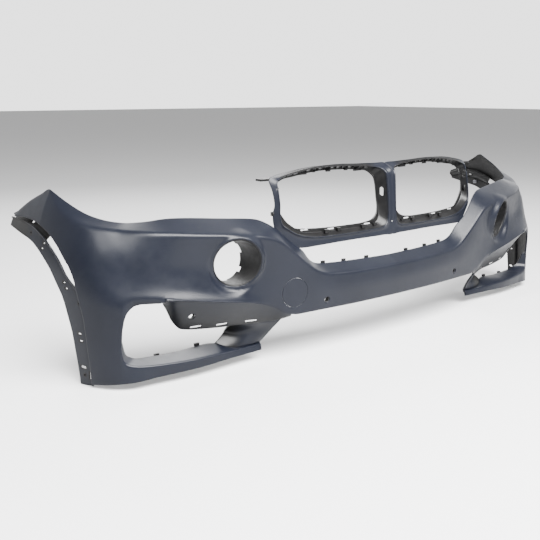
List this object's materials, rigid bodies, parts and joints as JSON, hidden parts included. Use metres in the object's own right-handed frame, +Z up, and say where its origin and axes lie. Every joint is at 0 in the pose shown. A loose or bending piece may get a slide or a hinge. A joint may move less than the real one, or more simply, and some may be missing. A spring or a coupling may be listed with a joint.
{
  "type": "bumper cover",
  "caption": "Primed front bumper cover with a twin grille surround, fog-lamp ducts, corner vents, wheel-arch flanges and a hinged tow-eye cover.",
  "frame": {"origin": "the middle of the centre hole between the two grilles, half way through its wall", "axes": "-Y is straight ahead of the car, +X is the car's left side, +Z is up"},
  "size_m": [1.8984, 0.5621, 0.524],
  "materials": {
    "primed_plastic": "satin blue-grey primer on moulded PP",
    "black_plastic": "raw matt black moulded plastic",
    "spring_steel": "black phosphated spring steel"
  },
  "bodies": {
    "bumper": {"arch_flange_left": "black_plastic", "arch_flange_right": "black_plastic", "centre_beam": "primed_plastic", "corner_left": "primed_plastic", "corner_right": "primed_plastic", "flange_spring_nuts_left": "spring_steel", "flange_spring_nuts_right": "spring_steel", "fog_lamp_duct_left": "primed_plastic", "fog_lamp_duct_right": "primed_plastic", "grille_band_clips": "primed_plastic", "grille_end_tab_left": "black_plastic", "grille_end_tab_right": "black_plastic", "grille_flank_left": "primed_plastic", "grille_flank_right": "primed_plastic", "grille_lower_band": "primed_plastic", "grille_pillar": "primed_plastic", "grille_pillar_cap": "primed_plastic", "grille_stem_left": "primed_plastic", "grille_stem_right": "primed_plastic", "grille_top_bar": "black_plastic", "inner_sensor_holder_left": "black_plastic", "inner_sensor_holder_right": "black_plastic", "intake_shelf": "primed_plastic", "intake_shelf_clips": "primed_plastic", "lip_shelf_clips_left": "primed_plastic", "lip_shelf_clips_right": "primed_plastic", "lip_shelf_left": "primed_plastic", "lip_shelf_right": "primed_plastic", "lower_lip_left": "primed_plastic", "lower_lip_right": "primed_plastic", "outer_sensor_holder_left": "black_plastic", "outer_sensor_holder_right": "black_plastic", "sensor_panel_left": "black_plastic", "sensor_panel_right": "black_plastic", "shoulder_left": "primed_plastic", "shoulder_right": "primed_plastic", "side_body_left": "primed_plastic", "side_body_right": "primed_plastic", "tow_hinge_bracket": "black_plastic", "tow_hinge_pin": "spring_steel", "vent_pillar_left": "primed_plastic", "vent_pillar_right": "primed_plastic", "wing_bracket_left": "black_plastic", "wing_bracket_right": "black_plastic", "wing_left": "primed_plastic", "wing_right": "primed_plastic", "wing_top_left": "primed_plastic", "wing_top_right": "primed_plastic"},
    "tow_cover": {"tow_eye_cover": "primed_plastic"}
  },
  "joints": [
    {"name": "tow_cover_hinge", "type": "hinge", "parent": "bumper", "child": "tow_cover", "pos_m": [-0.4343, 0.00387, -0.152], "axis": [0, 0, -1], "range_deg": [0, 75]}
  ]
}
